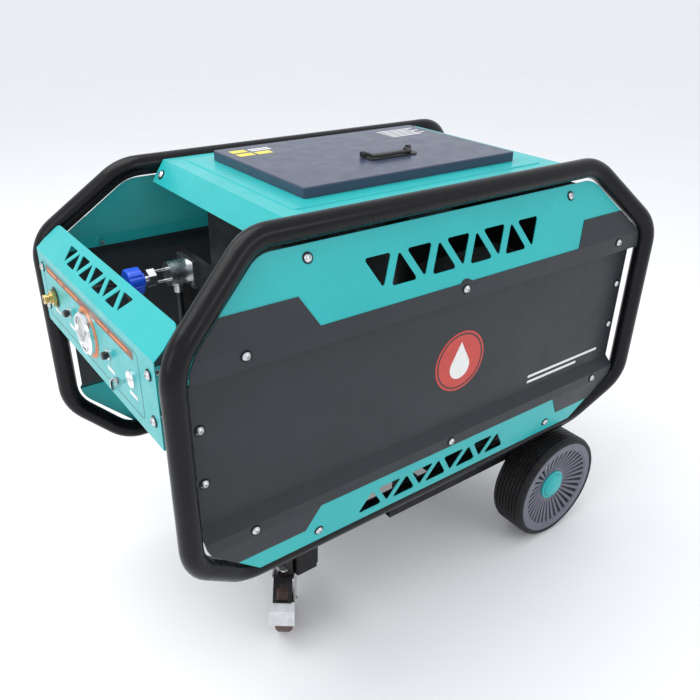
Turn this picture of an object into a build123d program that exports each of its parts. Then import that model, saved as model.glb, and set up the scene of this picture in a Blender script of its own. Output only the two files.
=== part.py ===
"""Petrol-engine pressure washer on wheels, as separate pieces.

Frame: +X towards the big wheels (rear), -X towards the control panel (front), +Y to the right
side, +Z up from the ground.  All sizes in millimetres.  The posts stand evenly about X = 0, and
the finished pieces are moved so that the origin is under the middle of the whole, key included.
"""

from build123d import *
import math
import os

# ---- rear wheels ----
WHEEL_D = 260.0
WHEEL_W = 85.0
WHEEL_X = 365.0
WHEEL_GAP = 5.0               # gap between a wheel and the under-frame
TYRE_SEAT_R = 112.0
RING_OUT_R = 117.0
RING_IN_R = 99.0
DISH = 17.0
RIM_FACE = WHEEL_W - 1.5       # outer face of the rim's ring, from the wheel's inner face
RIM_T = 5.0
SPOKE_COUNT = 36
SLOT_IN_R = 44.0
HUB_R = 24.0
CAP_R = 36.0
AXLE_D = 20.0
AXLE_MID_D = 26.0
BORE_FIT = 0.06

# ---- side loops of bent tube ----
TUBE_D = 38.0
TUBE_WALL = 2.0
BEND_R = 80.0                 # centre-line radius of every bend
POST_X = 537.0                # vertical posts, distance from the middle
POST_Y = 293.5
TOP_RAIL_IN = 54.0            # top rails, inwards from the posts
BOTTOM_RAIL_IN = 34.0
TOP_RISE = 130.0              # height of the sloping tube at the top
POST_H = 358.0                # height of the upright posts between their bends
BOTTOM_RISE = 94.0
TOP_FRONT_IN = 155.0          # ends of the straight rails, in from the posts
TOP_REAR_IN = 141.0
BOTTOM_FRONT_IN = 100.0
BOTTOM_REAR_IN = 108.0
RAIL_GAP = 6.0                # gap between the big wheels and the bottom rails

TUBE_R = TUBE_D / 2
BOTTOM_RAIL_Z = WHEEL_D + RAIL_GAP + TUBE_R
LOW_BEND_Z = BOTTOM_RAIL_Z + BOTTOM_RISE
HIGH_BEND_Z = LOW_BEND_Z + POST_H
TOP_RAIL_Z = HIGH_BEND_Z + TOP_RISE
TOP_RAIL_Y = POST_Y - TOP_RAIL_IN
BOTTOM_RAIL_Y = POST_Y - BOTTOM_RAIL_IN
TOP_FRONT_X = TOP_FRONT_IN - POST_X
TOP_REAR_X = POST_X - TOP_REAR_IN
BOTTOM_FRONT_X = BOTTOM_FRONT_IN - POST_X
BOTTOM_REAR_X = POST_X - BOTTOM_REAR_IN

# ---- sheet metal ----
SHEET = 1.5
PANEL_GAP = 4.5               # gap between a panel's edge and the tube round it
EDGE_FIT = 0.5                # gap between sheets and what they rest on
JOINT_GAP = 0.2               # gap between bolted faces
PANEL_MID_X = 9.0             # middle of the vents and screws on the side panels
RIDGE_BELOW_BEND = 9.0        # upper ridge line below the tube's high bend
RIDGE_H = 34.0
STEP_H = 10.0
FIELD_DEPTH = 19.8
FIELD_ABOVE_BEND = 46.0       # recessed field above the tube's low bend
BEVEL_H = 18.0
LOW_BAND_H = 23.0
LOWER_EDGE_ABOVE_RAIL = 9.0
NOTCH_H = 48.0                # height of the dark corner pieces beyond the ridge
NOTCH_HALF_X = 305.0
NOTCH_SLANT = 28.0
RIDGE_TAB_R = 18.0
RIDGE_LAP = 22.0              # how far the upper sheet runs down behind the ridge

# ---- vents ----
VENT_COUNT = 9
VENT_PITCH = 44.0
VENT_BASE = 56.0
VENT_H = 50.0
VENT_CORNER_R = 4.0
UPPER_VENT_Z = HIGH_BEND_Z + 17.0
LOWER_VENT_Z = BOTTOM_RAIL_Z + 27.0
LOWER_VENT_PITCH = 41.0
LOWER_VENT_H = 46.0
LOWER_VENT_MID_X = -14.0

# ---- screws ----
SCREW_HEAD_D = 14.0
SCREW_HEAD_H = 4.4
SCREW_SOCKET = 5.0
SCREW_D = 8.0
SCREW_LENGTH = 14.0
SCREW_HOLE_D = 9.0
WASHER_D = 18.5
WASHER_T = 1.0
RIDGE_SCREW_STEP = 434.0
RIDGE_SCREW_DROP = 12.24      # ridge screws below the ridge line
FIELD_SCREW_X = POST_X - 40.0
FIELD_SCREW_Z = (LOW_BEND_Z + 227.0, LOW_BEND_Z + 130.0)
LEAN_SCREW_X = 303.0
LEAN_SCREW_Z = TOP_RAIL_Z - 43.0
LOW_LEAN_SCREW_Z = BOTTOM_RAIL_Z + 35.0

# ---- top cover and lid ----
COVER_Z = TOP_RAIL_Z + 10.0
COVER_MID_X = 8.0
COVER_HALF_X = 316.0
COVER_SIDE_GAP = 5.0
COVER_FLANGE_DX = 26.0
COVER_FLANGE_DZ = 38.0
COVER_SKIRT = 22.0
EMBOSS_H = 2.0
EMBOSS_MARGIN = 42.0
LID_X = 485.0
LID_Y = 312.0
LID_H = 17.5
LID_SHEET = 1.5
LID_LIFT = 0.6                # gap under the closed lid's skirt
OPENING_X = 420.0
OPENING_Y = 250.0
COAMING_H = 10.0
HINGE_STEP = 300.0
HINGE_W = 54.0
KNUCKLE_R = 3.6
PIN_R = 1.9
PIN_FIT = 0.05
LEAF_T = 1.5
LEAF_W = 21.0
HANDLE_Y = -54.0
HANDLE_X = 22.0
HANDLE_L = 96.0
HANDLE_W = 30.0
HANDLE_PLATE_T = 2.5
HANDLE_LUG_W = 7.0
BAIL_R = 3.2
BAIL_PIVOT_R = 2.6

# ---- control panel ----
FACE_PROUD = 14.5             # face in front of the posts' middle
FACE_H = 144.0
FACE_TOP_DROP = 3.0           # face's top edge below the high bend
FACE_GAP = 5.0                # gap between the panel's ends and the posts
SLANT_RUN = 44.0
SLANT_RISE = 40.0
SLANT_CORNER_R = 24.0
FACE_RETURN = 28.0
FACE_VENT_MID_Y = 17.0
FACE_VENT_PITCH = 31.0
FACE_VENT_BASE = 37.0
FACE_VENT_H = 30.0
CONTROL_DROP = 75.0           # row of fittings below the high bend
CONTROL_MID_Y = 16.0
CONTROL_STEP = 94.0
OUTLET_OFFSET = 176.0
KEY_OFFSET = -187.0
FACE_SCREW_IN = 47.5          # face screws, in from the posts
FACE_SCREW_UP = (42.0, -34.0)
GAUGE_D = 75.0
GAUGE_BODY_D = 66.0
GAUGE_PROUD = 11.0
GAUGE_DEPTH = 26.0
NEEDLE_REST = 135.0           # needle at the dial's zero, lower left
PULL_ROD_R = 3.0
PULL_ROD_L = 44.0
COLLAR_R = 6.0                # threaded part of the pull knobs' collars
KEY_CORE_R = 6.0
KEY_PROUD = 32.0              # key's tip, from the panel's face
SWITCH_R = 10.8
OUTLET_BORE_R = 4.5
OUTLET_TAIL_R = 10.2
OUTLET_TAIL_L = 26.0

# ---- casters ----
CASTER_X = -280.0
CASTER_Y = 144.0
CASTER_H = 165.0
CASTER_WHEEL_D = 125.0
CASTER_WHEEL_W = 32.0
CASTER_TRAIL = 38.0
CASTER_YAW = 232.6            # direction of the trailing wheel at rest, degrees from +X
FORK_T = 3.0
CASTER_AXLE_R = 5.0
PLATE_T = 4.0
PLATE_X = 84.0
PLATE_Y = 104.0
KING_PIN_R = 5.0
LOCK_X = 62.0                 # pivot of the wheel lock, in the caster's frame
LOCK_Z = 143.0
LOCK_PIVOT_R = 3.0

# ---- under-frame ----
CROSS_H = 40.0
CROSS_W = 60.0
CROSS_WALL = 3.0
TRAY_T = 3.0
TRAY_IN = 32.0                # tray's edge, in from the side rails' outer faces
TRAY_X0 = 85.0
TRAY_X1 = 440.0
TRAY_LIP = 26.0
SIDE_RAIL_Y = BOTTOM_RAIL_Y - 37.5
SIDE_RAIL_W = 25.0
SIDE_RAIL_X0 = -75.0
SIDE_RAIL_X1 = 470.0
SIDE_RAIL_WALL = 2.5
SIDE_RAIL_DROP = 9.0          # side rails' lower face below the tray
HANGER_T = 8.0
HANGER_W = 44.0
HANGER_ARM_H = 18.0
HANGER_X = (-45.0, 190.0, 390.0)

# ---- power unit ----
ENGINE_X = 200.0
CRANK_UP = 167.0              # crankshaft above the tray
CRANK_Y = 15.0
CASE_HALF_X = 100.0
CASE_HALF_Y = 105.0
CASE_UP = 98.0                # crankcase's top above the crankshaft
CYLINDER_LEAN = 55.0          # cylinder's lean from upright towards the left, degrees
CYLINDER_R = 56.0
FIN_COUNT = 8
FIN_PITCH = 11.0
FIN_START = 135.0             # first fin's distance from the crankshaft
FIN_X = 150.0
FIN_W = 138.0
FIN_T = 4.0
HEAD_X = 126.0
HEAD_W = 112.0
HEAD_H = 34.0
SHROUD_R = 132.0
SHROUD_DEPTH = 66.0
GRILLE_PITCH = 17.0
GRILLE_HOLE_R = 5.0
MUFFLER_Y = -150.0
MUFFLER_W = 144.0
MUFFLER_UP = 142.0            # silencer above the crankcase
MUFFLER_H = 78.0
MUFFLER_WALL = 2.5
MUFFLER_PIPE_L = 47.5         # from the silencer down to the head
TANK_Y0 = -62.0
TANK_Y1 = 205.0
TANK_UP = 130.0               # tank above the crankcase
TANK_H = 122.0
TANK_CAP_X = 120.0
TANK_CAP_Y = 40.0
TANK_FRONT = 150.0            # tank's ends, from the middle of the engine
TANK_REAR = 120.0
TANK_LEG_X = 88.0
TANK_LEG_Y = (-12.0, 85.0)
TANK_LEG_R = 9.0
NECK_R = 20.0
NECK_H = 14.0
CAP_GRIP_R = 33.0
REAR_COVER_X = 392.0
REAR_COVER_Z0 = BOTTOM_RAIL_Z + 27.0
REAR_COVER_Z1 = TOP_RAIL_Z - 41.0
LOUVRE_COUNT = 7
LOUVRE_Z0 = LOW_BEND_Z + 1.0
LOUVRE_PITCH = 24.0
LOUVRE_H = 11.0
LOUVRE_HALF_Y = 170.0
BELL_R = 78.0
PUMP_LENGTH = 190.0
PUMP_HALF_Y = 72.0
VALVE_HEAD_W = 58.0
PLUNGER_STEP = 42.0
BULKHEAD_X = -325.0
BULKHEAD_Z0 = LOW_BEND_Z + 181.0
BULKHEAD_Z1 = TOP_RAIL_Z - 25.0
BULKHEAD_STEP_Y = 8.0
WALL_GAP = 2.0                # gap between the inner walls and the side panels
VALVE_Y = 105.0
VALVE_Z = HIGH_BEND_Z - 42.0
VALVE_R = 23.0
VALVE_L = 44.0
STEM_R = 5.0
STEM_L = 118.0
KNOB_R = 25.0
KNOB_FACE = 98.0              # knob's rear face, from the bulkhead
HOSE_PORT = 24.0              # hose port, from the bulkhead
PORT_L = 38.0
HOSE_D = 12.0
HOSE_DROP = 168.0             # lowest run of the hose below the valve
HOSE_RUN = 62.0               # forward run of the hose

FACE_X = -POST_X - FACE_PROUD
FACE_Z1 = HIGH_BEND_Z - FACE_TOP_DROP
FACE_Z0 = FACE_Z1 - FACE_H
CONTROL_Z = HIGH_BEND_Z - CONTROL_DROP
FACE_SCREW_Y = POST_Y - FACE_SCREW_IN
FACE_SCREW_Z = [CONTROL_Z + up for up in FACE_SCREW_UP]
MIDDLE_X = (FACE_X - KEY_PROUD + POST_X + TUBE_R) / 2     # middle from the key's tip to the rear
RIDGE_TOP_Z = HIGH_BEND_Z - RIDGE_BELOW_BEND
FIELD_BOTTOM_Z = LOW_BEND_Z + FIELD_ABOVE_BEND
BAND_Z = FIELD_BOTTOM_Z - BEVEL_H - LOW_BAND_H
LOWER_EDGE_Z = BOTTOM_RAIL_Z + LOWER_EDGE_ABOVE_RAIL
RAIL_SIDE = math.sqrt(TUBE_R ** 2 - LOWER_EDGE_ABOVE_RAIL ** 2)
LOWER_EDGE_Y = BOTTOM_RAIL_Y + RAIL_SIDE + EDGE_FIT + 2 * SHEET
LEAN_RUN = (POST_Y - TOP_RAIL_Y) / (TOP_RAIL_Z - RIDGE_TOP_Z)     # inward per unit height
LOW_LEAN_RUN = (POST_Y - LOWER_EDGE_Y) / (BAND_Z - LOWER_EDGE_Z)
WHEEL_FACE_Y = SIDE_RAIL_Y + WHEEL_GAP + WHEEL_W
FLOOR_Z = CASTER_H + CROSS_H          # top of the cross members
TRAY_HALF_Y = SIDE_RAIL_Y - TRAY_IN
CRANK_Z = FLOOR_Z + CRANK_UP
CASE_TOP_Z = CRANK_Z + CASE_UP
TANK_Z0 = CASE_TOP_Z + TANK_UP
TANK_Z1 = TANK_Z0 + TANK_H
MUFFLER_Z0 = CASE_TOP_Z + MUFFLER_UP
MUFFLER_Z1 = MUFFLER_Z0 + MUFFLER_H

made = {}


def keep(name, shape):
    """Collect a finished piece under its node name."""
    made[name] = shape
    return shape


def other_side(shape):
    """The same shape on the right side."""
    return shape.mirror(Plane.XZ)


# ---------------------------------------------------------------- helpers
def cyl(radius, z0, z1, x=0.0, y=0.0):
    """Upright cylinder between two heights."""
    return Pos(x, y, (z0 + z1) / 2) * Cylinder(radius, z1 - z0)


def rod(radius, start, end):
    """Cylinder between two points."""
    start, end = Vector(*start), Vector(*end)
    plane = Plane(origin=(start + end) / 2, z_dir=end - start)
    return plane * Cylinder(radius, (end - start).length)


def block(x0, x1, y0, y1, z0, z1):
    """Box between two corners."""
    centre = Pos((x0 + x1) / 2, (y0 + y1) / 2, (z0 + z1) / 2)
    return centre * Box(x1 - x0, y1 - y0, z1 - z0)


def rounded(solid, axis, radius):
    """Round the edges that run along one axis."""
    return fillet(solid.edges().filter_by(axis), radius)


def prism(points, plane, amount, radius=0.0):
    """Polygon on a plane, its corners rounded, pushed along the plane's normal."""
    if radius:
        outline = FilletPolyline(*points, radius=radius, close=True)
    else:
        outline = Polyline(*points, close=True)
    return extrude(plane * make_face(outline), amount)


def turned(profile):
    """Solid of revolution about Z from (radius, height) points."""
    face = Plane.XZ * make_face(Polyline(*profile, close=True))
    return revolve(face, Axis.Z)


def folded_outline(points, thickness):
    """Outline of a sheet folded along points, its second face on the left of the path."""
    normals = []
    for (x0, y0), (x1, y1) in zip(points, points[1:]):
        length = math.hypot(x1 - x0, y1 - y0)
        normals.append((-(y1 - y0) / length, (x1 - x0) / length))
    inner = []
    for i, (x, y) in enumerate(points):
        n0 = normals[max(i - 1, 0)]
        n1 = normals[min(i, len(normals) - 1)]
        scale = thickness / (1 + n0[0] * n1[0] + n0[1] * n1[1])
        inner.append((x + scale * (n0[0] + n1[0]), y + scale * (n0[1] + n1[1])))
    return points + inner[::-1]


def inset(points, distances):
    """Clockwise or anticlockwise polygon with each side moved inwards by its own distance."""
    area = sum(x0 * y1 - x1 * y0 for (x0, y0), (x1, y1) in zip(points, points[1:] + points[:1]))
    turn = 1.0 if area > 0 else -1.0
    lines = []
    for (x0, y0), (x1, y1), d in zip(points, points[1:] + points[:1], distances):
        length = math.hypot(x1 - x0, y1 - y0)
        nx, ny = -turn * (y1 - y0) / length, turn * (x1 - x0) / length
        lines.append((nx, ny, nx * x0 + ny * y0 + d))
    corners = []
    for i, (a, b, c) in enumerate(lines):
        p, q, r = lines[i - 1]
        det = p * b - q * a
        corners.append(((r * b - q * c) / det, (p * c - r * a) / det))
    return corners


# ---------------------------------------------------------------- side loops
def loop_corners():
    """Virtual corners of the left loop, as (x, y, z), going up the front post."""
    return [
        (-POST_X, -POST_Y, LOW_BEND_Z),
        (-POST_X, -POST_Y, HIGH_BEND_Z),
        (TOP_FRONT_X, -TOP_RAIL_Y, TOP_RAIL_Z),
        (TOP_REAR_X, -TOP_RAIL_Y, TOP_RAIL_Z),
        (POST_X, -POST_Y, HIGH_BEND_Z),
        (POST_X, -POST_Y, LOW_BEND_Z),
        (BOTTOM_REAR_X, -BOTTOM_RAIL_Y, BOTTOM_RAIL_Z),
        (BOTTOM_FRONT_X, -BOTTOM_RAIL_Y, BOTTOM_RAIL_Z),
    ]


def bent_tube(points, outer_r, wall, bend_r):
    """Tube along straight runs joined by tangent arcs."""
    path = FilletPolyline(*points, radius=bend_r)
    start = Plane(origin=path @ 0, z_dir=path % 0)
    ring = start * (Circle(outer_r) - Circle(outer_r - wall))
    return sweep(ring, path=path)


def side_loop():
    """The left loop: an upper and a lower bent tube welded at the middle of the posts."""
    corners = loop_corners()
    weld_z = (LOW_BEND_Z + HIGH_BEND_Z) / 2
    front = (-POST_X, -POST_Y, weld_z)
    rear = (POST_X, -POST_Y, weld_z)
    upper = bent_tube([front, *corners[1:5], rear], TUBE_R, TUBE_WALL, BEND_R)
    lower = bent_tube([rear, *corners[5:], corners[0], front], TUBE_R, TUBE_WALL, BEND_R)
    return upper + lower


def diagonal_bar(radius):
    """Solid bar along the left loop's front post and upper front diagonal, to cut with."""
    corners = loop_corners()
    path = FilletPolyline(*corners[:3], radius=BEND_R)
    return sweep(Plane(origin=path @ 0, z_dir=path % 0) * Circle(radius), path=path)


def bottom_rail_tool():
    """Solid bar where the left bottom rail runs, to cut saddles with."""
    return rod(TUBE_R, (BOTTOM_FRONT_X, -BOTTOM_RAIL_Y, BOTTOM_RAIL_Z),
               (BOTTOM_REAR_X, -BOTTOM_RAIL_Y, BOTTOM_RAIL_Z))


# ---------------------------------------------------------------- side panels
def panel_outline(gap):
    """Side view of the space inside the loop, in (x, z), with round corners."""
    flat = [(x, z) for x, _, z in loop_corners()]
    distance = TUBE_R + gap
    points = inset(flat, [distance] * 6 + [-TUBE_R, distance])
    corner = BEND_R - distance
    return points, corner


def outline_solid(gap):
    """The space inside the loop as a solid that runs across the left side."""
    points, corner = panel_outline(gap)
    return extrude(Plane.XZ * make_face(FilletPolyline(*points, radius=corner, close=True)),
                   POST_Y + 2 * TUBE_D)


def lean_y(z):
    """Outer face of the upper leaning zone."""
    return -POST_Y + (z - RIDGE_TOP_Z) * LEAN_RUN


def low_lean_y(z):
    """Outer face of the lower leaning zone."""
    return -POST_Y + (BAND_Z - z) * LOW_LEAN_RUN


def side_strip(points, outline):
    """Sheet folded along (y, z) points, cut to the loop's outline."""
    face = Plane.YZ * make_face(Polyline(*folded_outline(points, SHEET), close=True))
    strip = Pos(-POST_X, 0, 0) * extrude(face, 2 * POST_X)
    return strip & outline


def ridge_cut(z_line, z_end):
    """Side view of the notch that bares the coloured sheet, from a ridge line outwards."""
    out = 1.0 if z_end > z_line else -1.0
    slant = NOTCH_SLANT
    left, right = PANEL_MID_X - NOTCH_HALF_X, PANEL_MID_X + NOTCH_HALF_X
    far = z_end + out * 200
    return [
        (left, z_line), (right, z_line), (right + slant, z_end), (POST_X, z_end),
        (POST_X, far), (-POST_X, far), (-POST_X, z_end), (left - slant, z_end),
    ]


def side_prism(points, radius=0.0):
    """Prism through the left side from a side view in (x, z)."""
    return prism(points, Plane.XZ, POST_Y + 2 * TUBE_D, radius)


def triangle_row(count, pitch, base, height, mid, low, first_down):
    """Side views of a row of rounded triangles that point down and up in turn."""
    rows = []
    for i in range(count):
        x = mid + (i - (count - 1) / 2) * pitch
        down = (i % 2 == 0) == first_down
        flat, tip = (low + height, low) if down else (low, low + height)
        rows.append([(x - base / 2, flat), (x + base / 2, flat), (x, tip)])
    return rows


def upper_vents():
    """Cutters of the upper row of vents."""
    rows = triangle_row(VENT_COUNT, VENT_PITCH, VENT_BASE, VENT_H, PANEL_MID_X, UPPER_VENT_Z, True)
    return [side_prism(points, VENT_CORNER_R) for points in rows]


def lower_vents():
    """Cutters of the lower row of vents."""
    rows = triangle_row(VENT_COUNT, LOWER_VENT_PITCH, VENT_BASE, LOWER_VENT_H,
                        LOWER_VENT_MID_X, LOWER_VENT_Z, False)
    return [side_prism(points, VENT_CORNER_R) for points in rows]


def side_screw_planes():
    """Planes of the left side's screws, z outwards, with the sheet depth behind each."""
    out = Vector(0, -1, 0)
    ridge_z = RIDGE_TOP_Z - RIDGE_SCREW_DROP
    band_z = BAND_Z + 0.5 * LOW_BAND_H
    field_y = -POST_Y + FIELD_DEPTH
    planes = []
    for i in (-1, 0, 1):
        x = PANEL_MID_X + i * RIDGE_SCREW_STEP
        planes.append(Plane(origin=(x, -POST_Y, ridge_z), z_dir=out))
        planes.append(Plane(origin=(x, -POST_Y, band_z), z_dir=out))
    for side in (-1, 1):
        for z in FIELD_SCREW_Z:
            planes.append(Plane(origin=(side * FIELD_SCREW_X, field_y, z), z_dir=out))
    lean_out = Vector(0, -1, LEAN_RUN)
    low_out = Vector(0, -1, -LOW_LEAN_RUN)
    for side in (-1, 1):
        x = PANEL_MID_X + side * LEAN_SCREW_X
        lean = lean_y(LEAN_SCREW_Z) + SHEET * math.hypot(1, LEAN_RUN)
        planes.append(Plane(origin=(x, lean, LEAN_SCREW_Z), z_dir=lean_out))
        low = low_lean_y(LOW_LEAN_SCREW_Z) + SHEET * math.hypot(1, LOW_LEAN_RUN)
        planes.append(Plane(origin=(x, low, LOW_LEAN_SCREW_Z), z_dir=low_out))
    return planes


def drill(shape, planes, diameter, depth=40.0):
    """Holes through a shape at each plane."""
    for plane in planes:
        shape -= plane * Cylinder(diameter / 2, depth)
    return shape


def side_panels():
    """The left side's dark panel and its coloured upper and lower sheets."""
    outline = outline_solid(PANEL_GAP)
    y_field = -POST_Y + FIELD_DEPTH
    z_band_top = BAND_Z + LOW_BAND_H
    notch_top = RIDGE_TOP_Z + NOTCH_H
    notch_low = BAND_Z - NOTCH_H
    dark = side_strip([
        (lean_y(notch_top), notch_top), (-POST_Y, RIDGE_TOP_Z),
        (-POST_Y, RIDGE_TOP_Z - RIDGE_H), (y_field, RIDGE_TOP_Z - RIDGE_H - STEP_H),
        (y_field, FIELD_BOTTOM_Z), (-POST_Y, z_band_top), (-POST_Y, BAND_Z),
        (low_lean_y(notch_low), notch_low),
    ], outline)
    tab = Plane.XZ * Pos(PANEL_MID_X, RIDGE_TOP_Z - RIDGE_SCREW_DROP) * Circle(RIDGE_TAB_R)
    notch = side_prism(ridge_cut(RIDGE_TOP_Z, notch_top))
    dark -= notch - extrude(tab, POST_Y + TUBE_D)
    dark -= side_prism(ridge_cut(BAND_Z, notch_low))

    lap_z = RIDGE_TOP_Z - RIDGE_LAP
    top_z = RIDGE_TOP_Z + (TOP_RAIL_Z - RIDGE_TOP_Z) * (
        1 - (TUBE_R + PANEL_GAP) / math.hypot(TOP_RAIL_Z - RIDGE_TOP_Z, POST_Y - TOP_RAIL_Y))
    upper_path = folded_outline([(lean_y(top_z), top_z), (-POST_Y, RIDGE_TOP_Z),
                                 (-POST_Y, lap_z)], SHEET)[3:][::-1]
    upper = side_strip(upper_path, outline)

    low_lap = BAND_Z + RIDGE_LAP
    lower_path = folded_outline([(-POST_Y, low_lap), (-POST_Y, BAND_Z),
                                 (low_lean_y(LOWER_EDGE_Z), LOWER_EDGE_Z)], SHEET)[3:][::-1]
    lower = side_strip(lower_path, outline)
    for cutter in upper_vents():
        upper -= cutter
    for cutter in lower_vents():
        lower -= cutter
    planes = side_screw_planes()
    return [drill(shape, planes, SCREW_HOLE_D) for shape in (dark, upper, lower)]


# ---------------------------------------------------------------- screws
def button_screw():
    """Button-head screw with a hexagon socket, seated on z = 0."""
    head = [(0, WASHER_T), (SCREW_HEAD_D / 2, WASHER_T), (SCREW_HEAD_D / 2, WASHER_T + 1.2),
            (SCREW_HEAD_D / 2 - 1.6, WASHER_T + 3.0), (SCREW_HEAD_D / 4, WASHER_T + SCREW_HEAD_H),
            (0, WASHER_T + SCREW_HEAD_H)]
    socket = Pos(0, 0, WASHER_T + SCREW_HEAD_H) * extrude(
        RegularPolygon(SCREW_SOCKET / 2, 6, major_radius=False), -2.4)
    return turned(head) + cyl(SCREW_D / 2, -SCREW_LENGTH, WASHER_T) - socket


def washer():
    """Flat washer under a screw head."""
    return cyl(WASHER_D / 2, 0, WASHER_T) - cyl(SCREW_D / 2 + 0.2, -1, WASHER_T + 1)


def face_screw_planes():
    """Planes of the screws in the control panel's face."""
    return [Plane(origin=(FACE_X, side * FACE_SCREW_Y, z), z_dir=(-1, 0, 0))
            for side in (-1, 1) for z in FACE_SCREW_Z]


def flange_screw_planes():
    """Planes of the screws in the top cover's sloping end flanges."""
    planes = []
    for end in (-1, 1):
        x = COVER_MID_X + end * (COVER_HALF_X + COVER_FLANGE_DX * 0.6)
        z = COVER_Z - COVER_FLANGE_DZ * 0.6
        for side in (-1, 1):
            y = side * (cover_half_y() - 22)
            planes.append(Plane(origin=(x, y, z),
                                z_dir=(end * COVER_FLANGE_DZ, 0, COVER_FLANGE_DX)))
    return planes


def mirrored_planes(planes):
    """The same planes on the right side."""
    return [Plane(origin=(p.origin.X, -p.origin.Y, p.origin.Z),
                  z_dir=(p.z_dir.X, -p.z_dir.Y, p.z_dir.Z)) for p in planes]


def fasteners():
    """Every panel screw and its washer."""
    left = side_screw_planes()
    planes = left + mirrored_planes(left) + face_screw_planes() + flange_screw_planes()
    screw, ring = button_screw(), washer()
    keep("panel_screws", Compound([plane * screw for plane in planes]))
    keep("panel_washers", Compound([plane * ring for plane in planes]))


# ---------------------------------------------------------------- top cover and lid
def cover_half_y():
    """Half width of the cover between the top rails."""
    rise = COVER_Z - TOP_RAIL_Z
    return TOP_RAIL_Y - math.sqrt(TUBE_R ** 2 - rise ** 2) - COVER_SIDE_GAP


def top_cover():
    """Cover sheet with sloping ends, side skirts, a raised field and a coaming round the opening."""
    half_y = cover_half_y()
    x0, x1 = COVER_MID_X - COVER_HALF_X, COVER_MID_X + COVER_HALF_X
    low = COVER_Z - COVER_FLANGE_DZ
    path = [(x1 + COVER_FLANGE_DX, low), (x1, COVER_Z), (x0, COVER_Z), (x0 - COVER_FLANGE_DX, low)]
    profile = Plane.XZ * make_face(Polyline(*folded_outline(path, SHEET), close=True))
    sheet = Pos(0, half_y, 0) * extrude(profile, 2 * half_y)
    for side in (-1, 1):
        y0, y1 = sorted((side * half_y, side * (half_y - SHEET)))
        sheet += block(x0 + 4, x1 - 4, y0, y1, COVER_Z - COVER_SKIRT, COVER_Z - SHEET)
    field_x, field_y = LID_X / 2 + EMBOSS_MARGIN, LID_Y / 2 + EMBOSS_MARGIN * 0.85
    field = rounded(Pos(COVER_MID_X, 0, COVER_Z + EMBOSS_H / 2) *
                    Box(2 * field_x, 2 * field_y, EMBOSS_H), Axis.Z, 12)
    sheet += chamfer(field.faces().sort_by(Axis.Z)[-1].edges(), EMBOSS_H * 0.8)
    coaming_top = COVER_Z + EMBOSS_H + COAMING_H
    coaming = Pos(COVER_MID_X, 0, (COVER_Z + coaming_top) / 2) * Box(
        OPENING_X + 2 * SHEET, OPENING_Y + 2 * SHEET, coaming_top - COVER_Z)
    sheet += rounded(coaming, Axis.Z, 16 + SHEET)
    hole = Pos(COVER_MID_X, 0, COVER_Z) * Box(OPENING_X, OPENING_Y, 60)
    sheet -= rounded(hole, Axis.Z, 16)
    return drill(sheet, flange_screw_planes(), SCREW_HOLE_D, 24)


def lid_bottom():
    """Height of the closed lid's lower edge."""
    return COVER_Z + EMBOSS_H + LID_LIFT


def lid():
    """Shallow lid: one sheet with a skirt all round."""
    z0 = lid_bottom()
    outer = Pos(COVER_MID_X, 0, z0 + LID_H / 2) * Box(LID_X, LID_Y, LID_H)
    outer = rounded(outer, Axis.Z, 5)
    outer = fillet(outer.faces().sort_by(Axis.Z)[-1].edges(), 2.5)
    inner = Pos(COVER_MID_X, 0, z0 + (LID_H - LID_SHEET) / 2 - 1) * Box(
        LID_X - 2 * LID_SHEET, LID_Y - 2 * LID_SHEET, LID_H - LID_SHEET + 2)
    return outer - rounded(inner, Axis.Z, 3.5)


def hinge_axis():
    """(y, z) of the lid's hinge line."""
    return LID_Y / 2 + KNUCKLE_R + LEAF_T + 0.8, COVER_Z + EMBOSS_H + KNUCKLE_R + 0.4


def hinges():
    """Butt hinges at the lid's far edge: cover leaves, lid leaves and pins."""
    y, z = hinge_axis()
    gap = 0.4
    third = HINGE_W / 3
    bases, leaves, pins = [], [], []
    bore_r = PIN_R + PIN_FIT
    for side in (-1, 1):
        x = COVER_MID_X + side * HINGE_STEP / 2
        z_leaf = COVER_Z + EMBOSS_H
        base = block(x - HINGE_W / 2, x + HINGE_W / 2, y + KNUCKLE_R + 0.8, y + LEAF_W,
                     z_leaf, z_leaf + LEAF_T)
        for end in (-1, 1):
            xa, xb = sorted((x + end * (third / 2 + gap), x + end * HINGE_W / 2))
            base += rod(KNUCKLE_R, (xa, y, z), (xb, y, z))
            base += block(xa, xb, y, y + KNUCKLE_R + 0.8, z_leaf, z_leaf + LEAF_T)
        base -= rod(bore_r, (x - HINGE_W, y, z), (x + HINGE_W, y, z))
        bases.append(base)
        half = third / 2 - gap
        leaf = rod(KNUCKLE_R, (x - half, y, z), (x + half, y, z))
        leaf += block(x - half, x + half, LID_Y / 2, y, z + KNUCKLE_R - LEAF_T, z + KNUCKLE_R)
        leaf += block(x - HINGE_W / 2, x + HINGE_W / 2, LID_Y / 2, LID_Y / 2 + LEAF_T,
                      z + KNUCKLE_R - LEAF_T, lid_bottom() + LID_H - 3)
        leaf -= rod(bore_r, (x - HINGE_W, y, z), (x + HINGE_W, y, z))
        leaves.append(leaf)
        pins.append(rod(PIN_R, (x - HINGE_W / 2 - 1, y, z), (x + HINGE_W / 2 + 1, y, z)))
    keep("lid_hinge_bases", Compound(bases))
    keep("lid_hinge_leaves", Compound(leaves))
    keep("lid_hinge_pins", Compound(pins))


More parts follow.
